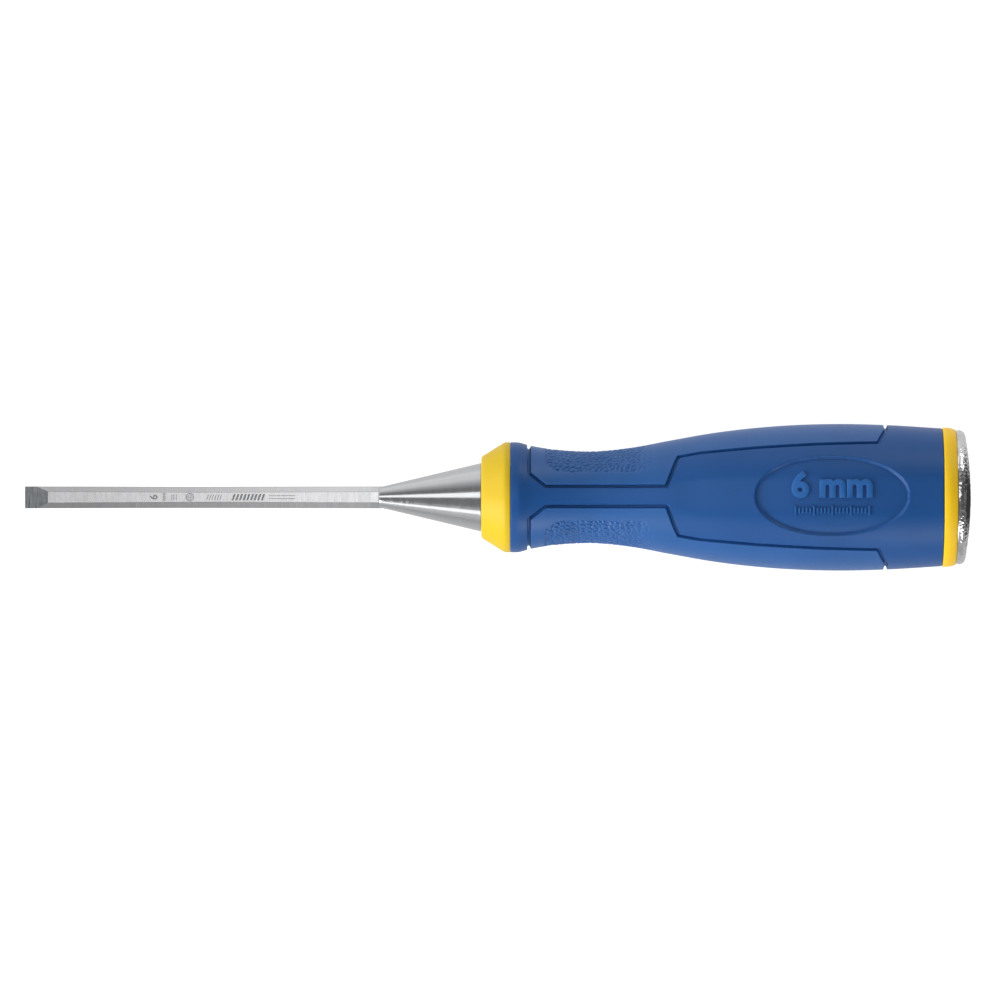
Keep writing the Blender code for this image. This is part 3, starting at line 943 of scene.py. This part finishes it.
def panel_ring(station, side):
    """One ring of a side panel: its outer skin, from one face of the tool to the other, and its inside."""
    quarter_arc = quarter_length(station)
    edge = np.array([np.interp(station, line[:, 0], line[:, 1]) for line in PANEL_LINES])
    arcs = np.concatenate([edge, np.linspace(edge[-1], quarter_arc, PANEL_POINTS + 1)[1:]])
    depth = groove_depth(station, arcs)
    turn = arcs / quarter_arc * math.pi / 2
    arcs = np.concatenate([arcs, arcs[::-1][1:]])
    depth = np.concatenate([depth, depth[::-1][1:]])
    turn = np.concatenate([turn, (math.pi - turn[::-1])[1:]])
    from_side = (turn - math.pi / 2) * quarter_arc / (math.pi / 2)
    depth = depth + pebble_depth(np.full(arcs.shape, station), arcs, from_side * side)
    turn = np.concatenate([turn, np.linspace(turn[-1], turn[0], PANEL_BACK_POINTS)])
    depth = np.concatenate([depth, np.full(PANEL_BACK_POINTS, PANEL_THICKNESS)])
    return grip_points(np.full(turn.shape, station), turn * side, depth)


def make_panel(name, node, side, blue):
    """One side panel: outer skin with its pebbled zone, rounded groove edges, and a plain inside."""
    spread = steps_through(
        (POCKET_FRONT + 1.2 * MM, 141 * MM, 0.4 * MM),
        (141 * MM, 173.5 * MM, 0.22 * MM),
        (173.5 * MM, 179.5 * MM, 0.3 * MM),
        (179.5 * MM, 231 * MM, 1.0 * MM),
        (231 * MM, POCKET_REAR - 1.2 * MM, 0.3 * MM),
    )
    stations = [POCKET_FRONT + GROOVE_STEPS, spread, (POCKET_REAR - GROOVE_STEPS)[::-1]]
    panel = skin(name, np.array([panel_ring(s, side) for s in np.concatenate(stations)]))
    panel.data.materials.append(blue)
    place_piece(panel, node)


def make_size_relief(blue):
    """Raised size mark and ruler on the oval pad of the upper face."""
    half = RELIEF_HEIGHT / 2
    text, size, bold, across = RELIEF_TEXT
    shapes = [(text_mesh(text, size, bold, half, RELIEF_EDGE), 0, across)]
    for i in range(RULER_TICKS):
        tick = bar_mesh(RULER_LINE, RULER_LENGTHS[0 if i % 5 == 0 else 1], half)
        shapes.append((tick, (i - RULER_TICKS // 2) * RULER_PITCH, RULER_ACROSS))
    data = gather("size_relief", shapes)
    # Cut into strips and blocks, so that it can follow the curved pad
    mesh = bmesh.new()
    mesh.from_mesh(data)
    for axis, reach, pitch in (((0, 1, 0), 9 * MM, 0.5 * MM), ((1, 0, 0), 16 * MM, 2 * MM)):
        for at in np.arange(-reach, reach, pitch):
            bmesh.ops.bisect_plane(
                mesh,
                geom=mesh.verts[:] + mesh.edges[:] + mesh.faces[:],
                plane_co=Vector(axis) * at,
                plane_no=axis,
            )
    mesh.to_mesh(data)
    mesh.free()
    flat = np.array([v.co for v in data.vertices])
    stations = PAD_STATION + flat[:, 0]
    turn = flat[:, 1] / curve_value(GRIP_PROFILE, stations)
    points = grip_points(stations, turn, PAD_DEPTH - half - flat[:, 2])
    for v, point in zip(data.vertices, points):
        v.co = point
    relief = finish_mesh("size_relief", data)
    relief.data.materials.append(blue)
    place_piece(relief, None)


# ---------------------------------------------------------------- strike cap
def cap_profile():
    """(station, radius) points of the cap: stem, flat underside, rounded corner and dome."""
    reach = CAP_DOME - CAP_CORNER
    corner_radius = CAP_RADIUS - CAP_CORNER
    corner = (CAP_END - CAP_DOME + math.sqrt(reach**2 - corner_radius**2), corner_radius)
    dome_edge = math.degrees(math.asin(corner_radius / reach))
    corner_start = math.degrees(math.acos((CAP_START + CAP_CHAMFER - corner[0]) / CAP_CORNER))
    return [
        (STEM_START, 0.0),
        (STEM_START, STEM_RADIUS - STEM_CHAMFER),
        (STEM_START + STEM_CHAMFER, STEM_RADIUS),
        (CAP_START, STEM_RADIUS),
        (CAP_START, CAP_RADIUS - 2 * CAP_CHAMFER),
        (CAP_START + 0.04 * MM, CAP_RADIUS - CAP_CHAMFER),
        *arc_points(corner, CAP_CORNER, corner_start, dome_edge, 22),
        *arc_points((CAP_END - CAP_DOME, 0.0), CAP_DOME, dome_edge, 0.0, 80)[1:],
    ]


def make_cap(plate):
    """Domed cap with a dimpled skin, and its stem."""
    cap = turned("steel_cap", cap_profile(), CAP_TURNS)
    data = cap.data
    points = np.array([v.co for v in data.vertices])
    struck = smoothstep(CAP_START + 0.05 * MM, CAP_START + 0.4 * MM, points[:, 0] - TIP_X)
    depth = -DIMPLE_LIFT
    for size, full_depth, seed in DIMPLES:
        nearest, _ = cell_distances(points / size + 300, seed)
        depth = depth + full_depth * (1 - nearest**2)
    sink = np.maximum(depth, 0) * struck
    outward = points - np.array([TIP_X + CAP_END - DIMPLE_FOCUS, 0, AXIS_Z])
    outward /= np.linalg.norm(outward, axis=1)[:, None]
    points -= outward * sink[:, None]
    for v, point in zip(data.vertices, points):
        v.co = point
    data.materials.append(plate)
    place_piece(cap, "strike_cap")


# ---------------------------------------------------------------- stage
def flat_sheet(name, height):
    """A level square sheet under the tool."""
    mesh = bmesh.new()
    bmesh.ops.create_grid(mesh, x_segments=2, y_segments=2, size=SHEET_HALF)
    data = bpy.data.meshes.new(name)
    mesh.to_mesh(data)
    mesh.free()
    sheet = bpy.data.objects.new(name, data)
    bpy.context.scene.collection.objects.link(sheet)
    sheet.location.z = height
    return sheet


def make_floor():
    """A plain pale floor that the camera sees, and a bounce sheet that lights the tool from below."""
    floor = flat_sheet("floor", FLOOR_HEIGHT)
    material = Paint("floor_white").finish(
        Base_Color=(0.35, 0.35, 0.35, 1),
        Roughness=0.9,
        Emission_Color=(1, 1, 1, 1),
        Emission_Strength=FLOOR_GLOW,
    )
    floor.data.materials.append(material)
    floor.visible_diffuse = False
    floor.visible_glossy = False

    bounce = flat_sheet("bounce_sheet", BOUNCE_HEIGHT)
    paint = Paint("bounce_grey")
    split = paint.node("ShaderNodeSeparateXYZ", {0: paint.coords})
    glow = paint.ranged(split.outputs[1], -BOUNCE_BLEND, BOUNCE_BLEND, BOUNCE_NEAR, BOUNCE_FAR)
    beyond = paint.math("SUBTRACT", split.outputs[0], TIP_X + CAP_START)
    bearing = paint.math("ARCTAN2", paint.math("ABSOLUTE", split.outputs[1]), beyond)
    share = paint.ranged(bearing, *REAR_SHADE, REAR_SHADE_SHARE, 1.0)
    material = paint.finish(
        Base_Color=(0, 0, 0, 1),
        Roughness=1.0,
        Emission_Color=(1, 1, 1, 1),
        Emission_Strength=paint.math("MULTIPLY", glow, share),
    )
    bounce.data.materials.append(material)
    bounce.visible_camera = False


def softbox(name, tilt_deg, turn_deg, distance, width, length, radiance, along):
    """An area light that faces the tool, tilted from overhead, turned from -Y towards -X and moved along X.

    width is its size in the direction of the tilt, and length its size square to that.
    """
    light = bpy.data.lights.new(name, "AREA")
    light.shape = "RECTANGLE"
    light.size, light.size_y = length, width
    light.energy = radiance * math.pi * width * length
    lamp = bpy.data.objects.new(name, light)
    bpy.context.scene.collection.objects.link(lamp)
    tilt, turn = math.radians(tilt_deg), math.radians(turn_deg)
    out = distance * math.sin(tilt)
    height = AXIS_Z + distance * math.cos(tilt)
    lamp.location = (along - out * math.sin(turn), -out * math.cos(turn), height)
    lamp.rotation_euler = (tilt, 0, -turn)
    lamp.visible_camera = False


def make_world():
    """A studio with a dark ceiling that pales towards the horizon.

    Its brightness depends on the direction only: less light beyond the handle's end, more beyond the tip.
    """
    world_data = bpy.data.worlds.new("studio")
    bpy.context.scene.world = world_data
    world_data.use_nodes = True
    tree = world_data.node_tree

    def vector(operation, *values):
        return add_node(tree, "ShaderNodeVectorMath", dict(enumerate(values)), operation=operation)

    def spread(value, half):
        sockets = {"Value": value, "From Min": -half, "From Max": half}
        return add_node(tree, "ShaderNodeMapRange", sockets).outputs[0]

    def ramp(factor, stops):
        made = add_node(tree, "ShaderNodeValToRGB", {"Fac": factor})
        for _ in range(len(stops) - 2):
            made.color_ramp.elements.new(0.5)
        for element, (position, value) in zip(made.color_ramp.elements, stops):
            element.position = position
            element.color = (value, value, value, 1)
        return made.outputs[0]

    direction = add_node(tree, "ShaderNodeTexCoord", {}).outputs["Generated"]
    level = vector("MULTIPLY", direction, WORLD_SQUEEZE).outputs[0]
    lean = vector("LENGTH", level).outputs["Value"]
    split = add_node(tree, "ShaderNodeSeparateXYZ", {0: direction})
    side = spread(split.outputs[1], WORLD_BLEND)
    near, far = (ramp(lean, list(zip(WORLD_LEANS, values))) for values in (WORLD_NEAR, WORLD_FAR))
    mixed = add_node(tree, "ShaderNodeMix", {0: side, 6: near, 7: far}, data_type="RGBA")
    along = spread(split.outputs[0], 1.0)
    shaded = vector("MULTIPLY", mixed.outputs[2], ramp(along, WORLD_REAR_SHADE)).outputs[0]
    total = vector("ADD", shaded, ramp(along, WORLD_TIP_GLOW)).outputs[0]
    tree.links.new(total, tree.nodes["Background"].inputs[0])


def make_camera():
    """A distant camera that looks down on the tool, leaning a little round it."""
    camera = bpy.data.cameras.new("camera")
    thing = bpy.data.objects.new("camera", camera)
    bpy.context.scene.collection.objects.link(thing)
    camera.sensor_width = SENSOR_WIDTH
    camera.lens = SENSOR_WIDTH * CAMERA_DISTANCE / FRAME_WIDTH
    camera.clip_end = 20.0
    thing.location = (
        TIP_X + CAMERA_STATION,
        CAMERA_ACROSS - CAMERA_DISTANCE * math.sin(CAMERA_LEAN),
        AXIS_Z + CAMERA_DISTANCE * math.cos(CAMERA_LEAN),
    )
    thing.rotation_euler = (CAMERA_LEAN, 0, 0)
    bpy.context.scene.camera = thing


def make_studio():
    bpy.context.scene.view_settings.view_transform = "Standard"
    make_camera()
    make_floor()
    make_world()
    for box in SOFT_BOXES:
        softbox(*box)


def blade_steels():
    """Steels of the blade's faces, of its ground bevel, which is painted dark as painted shade, and of the
    bolster.
    """
    faces = ground_steel(
        "ground_steel",
        dark=(0.57, 0.57, 0.58),
        light=(0.64, 0.64, 0.65),
        roughness=0.2,
        across=(3.0, 0.15, 0.15),
        depth=0.0008 * MM,
        # painted shade: the faces are painted darker near the tip
        tip_shade_share=0.67,
    )
    bevel = ground_steel(
        "ground_bevel_painted_dark",
        # painted shade: the bevel's steel is painted nearly black, standing in for the dark surroundings it
        # mirrors
        dark=(0.08, 0.088, 0.092),
        light=(0.165, 0.173, 0.178),
        roughness=0.3,
        across=(5.0, 0.15, 0.15),
        depth=0.002 * MM,
    )
    polished = ground_steel(
        "polished_steel",
        dark=(0.53, 0.54, 0.55),
        light=(0.57, 0.58, 0.59),
        roughness=0.14,
        across=(4.0, 0.2, 0.2),
        depth=0.0006 * MM,
    )
    return faces, bevel, polished


def core_yellow():
    return moulded_plastic(
        "yellow_plastic",
        dark=(0.9, 0.555, 0.015),
        light=(0.95, 0.6, 0.022),
        roughness=0.42,
        grain=0.004 * MM,
        gloss=0.2,
        # painted shade on the collar against painted light on the rear ring: the front colours are darker
        front=((0.617, 0.42, 0.012), (0.65, 0.452, 0.018)),
    )


def grip_blues():
    """Blues of the grip's body, of its softer side panels, and of the raised mark."""
    body = moulded_plastic(
        "blue_plastic",
        dark=(0.0115, 0.072, 0.244),
        light=(0.0135, 0.08, 0.272),
        roughness=0.38,
        grain=0.012 * MM,
        gloss=0.25,
    )
    # The side panels' blue is paler and whiter than the body's: partly their own colour and partly painted
    # sheen.
    soft = moulded_plastic(
        "blue_rubber",
        dark=(0.014, 0.088, 0.285),
        light=(0.017, 0.1, 0.32),
        roughness=0.4,
        grain=0.014 * MM,
        gloss=0.4,
    )
    raised = moulded_plastic(
        "raised_blue",
        dark=(0.016, 0.108, 0.345),
        light=(0.02, 0.12, 0.385),
        roughness=0.4,
        grain=0.008 * MM,
        gloss=0.3,
    )
    return body, soft, raised


def main():
    make_studio()
    blue, soft_blue, raised_blue = grip_blues()
    make_blade(*blade_steels())
    make_marks(etched_ink("etched_marks"))
    make_core(core_yellow())
    make_grip_body(blue)
    make_panel("blue_panel_left", "side_panel_left", 1, soft_blue)
    make_panel("blue_panel_right", "side_panel_right", -1, soft_blue)
    make_size_relief(raised_blue)
    make_cap(plated_steel("plated_steel"))


main()
